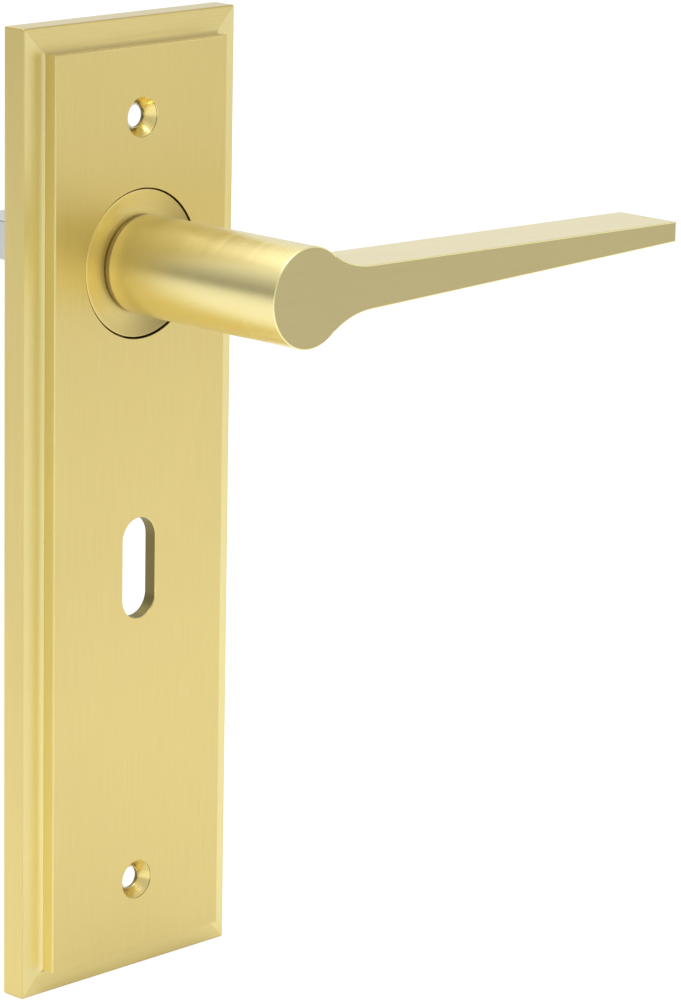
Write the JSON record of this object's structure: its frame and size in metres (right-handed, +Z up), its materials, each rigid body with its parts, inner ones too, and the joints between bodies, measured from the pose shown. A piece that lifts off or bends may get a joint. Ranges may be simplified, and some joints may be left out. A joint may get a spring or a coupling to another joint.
{
  "type": "lever handle lockset",
  "caption": "Sprung lever handle on a stepped rectangular backplate with a keyhole slot, a square spindle and a hidden return mechanism.",
  "frame": {"origin": "spindle axis where it crosses the plane of the door face, which is the plane of the backplate's back rim", "axes": "+Z up the door, +X along the handle's blade away from the shank, +Y into the door along the spindle; the handle stands off the door along -Y"},
  "size_m": [0.1258, 0.0841, 0.18],
  "materials": {
    "satin_brass": "satin brushed, long fine grain",
    "collar_bronze": "fine turned",
    "plated_zinc": "cast, zinc plated",
    "bright_steel": "zinc plated, bright",
    "spring_steel": "blue-grey tempered",
    "black_steel": "oiled black",
    "black_nylon": "moulded, matt"
  },
  "bodies": {
    "plate": {"backplate": "satin_brass", "bearing_rose": "satin_brass", "shank_collar": "collar_bronze", "neck_bush": "black_nylon", "thrust_washer": "black_nylon", "spring_housing": "plated_zinc", "cover_plate": "plated_zinc", "cover_screw_1": "bright_steel", "cover_screw_2": "bright_steel", "cover_screw_3": "bright_steel", "cover_screw_4": "bright_steel", "rest_stop_pin": "bright_steel", "travel_stop_pin": "bright_steel", "return_spring": "spring_steel"},
    "handle": {"lever_handle": "satin_brass", "stop_cam": "bright_steel", "wave_washer": "spring_steel", "circlip": "black_steel", "spindle": "bright_steel", "grub_screw": "black_steel"}
  },
  "joints": [
    {"name": "lever_turn", "type": "hinge", "parent": "plate", "child": "handle", "pos_m": [0, 0, 0], "axis": [0, 1, 0], "range_deg": [0, 40], "stiffness_Nm_per_rad": 0.9, "springref_deg": -34.38, "deforming": ["return_spring"]}
  ]
}
